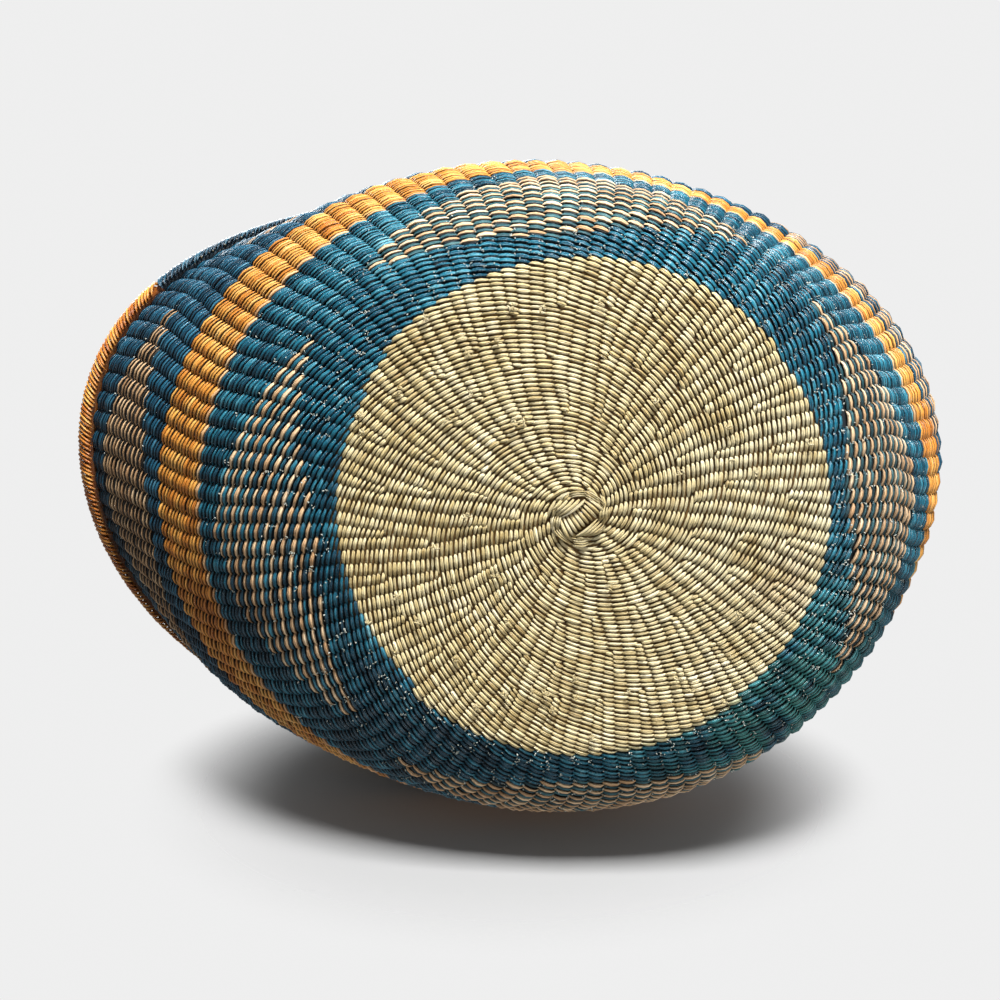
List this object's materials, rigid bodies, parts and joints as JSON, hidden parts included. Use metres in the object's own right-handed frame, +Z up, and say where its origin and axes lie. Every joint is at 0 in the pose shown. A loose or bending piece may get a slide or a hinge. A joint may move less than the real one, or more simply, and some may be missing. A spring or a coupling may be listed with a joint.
{
  "type": "market basket",
  "caption": "Woven grass market basket with a flat round base, leaning oval wall of coloured bands and diamonds, bound rim and a swinging leather arch handle.",
  "frame": {"origin": "middle of the round base, on the surface it stands on", "axes": "+Z up through the mouth, +Y to the right along the basket's length, +X to the front"},
  "size_m": [0.3133, 0.4429, 0.3364],
  "materials": {
    "natural_grass": "matte",
    "blue_grass": "matte",
    "dark_blue_grass": "matte",
    "orange_grass": "matte",
    "tan_grass": "matte",
    "pale_tan_grass": "matte",
    "rust_grass": "matte",
    "brown_leather": "matte",
    "dark_leather": "matte"
  },
  "bodies": {
    "basket": {"base_weave": "natural_grass", "centre_knot": "natural_grass", "lower_blue_weave": "blue_grass", "lower_diamond_right": "tan_grass", "lower_diamond_back": "tan_grass", "lower_diamond_left": "tan_grass", "lower_diamond_front": "tan_grass", "orange_band": "orange_grass", "upper_blue_weave": "dark_blue_grass", "upper_diamond_right": "pale_tan_grass", "upper_diamond_back": "pale_tan_grass", "upper_diamond_left": "pale_tan_grass", "upper_diamond_front": "pale_tan_grass", "rim_core": "natural_grass", "rim_binding_right": "rust_grass", "rim_binding_back": "dark_blue_grass", "rim_binding_left": "rust_grass", "rim_binding_front": "dark_blue_grass"},
    "handle": {"handle_core": "natural_grass", "handle_leather": "brown_leather", "handle_loop_front": "dark_leather", "handle_loop_back": "dark_leather", "collar_front": "brown_leather", "collar_back": "brown_leather", "lashing_front": "dark_leather", "lashing_back": "dark_leather"}
  },
  "joints": [
    {"name": "handle_swing", "type": "hinge", "parent": "basket", "child": "handle", "pos_m": [-0.0042, -0.06574, 0.136], "axis": [0.9947, 0.0957, 0.0376], "range_deg": [-50, 50]}
  ]
}
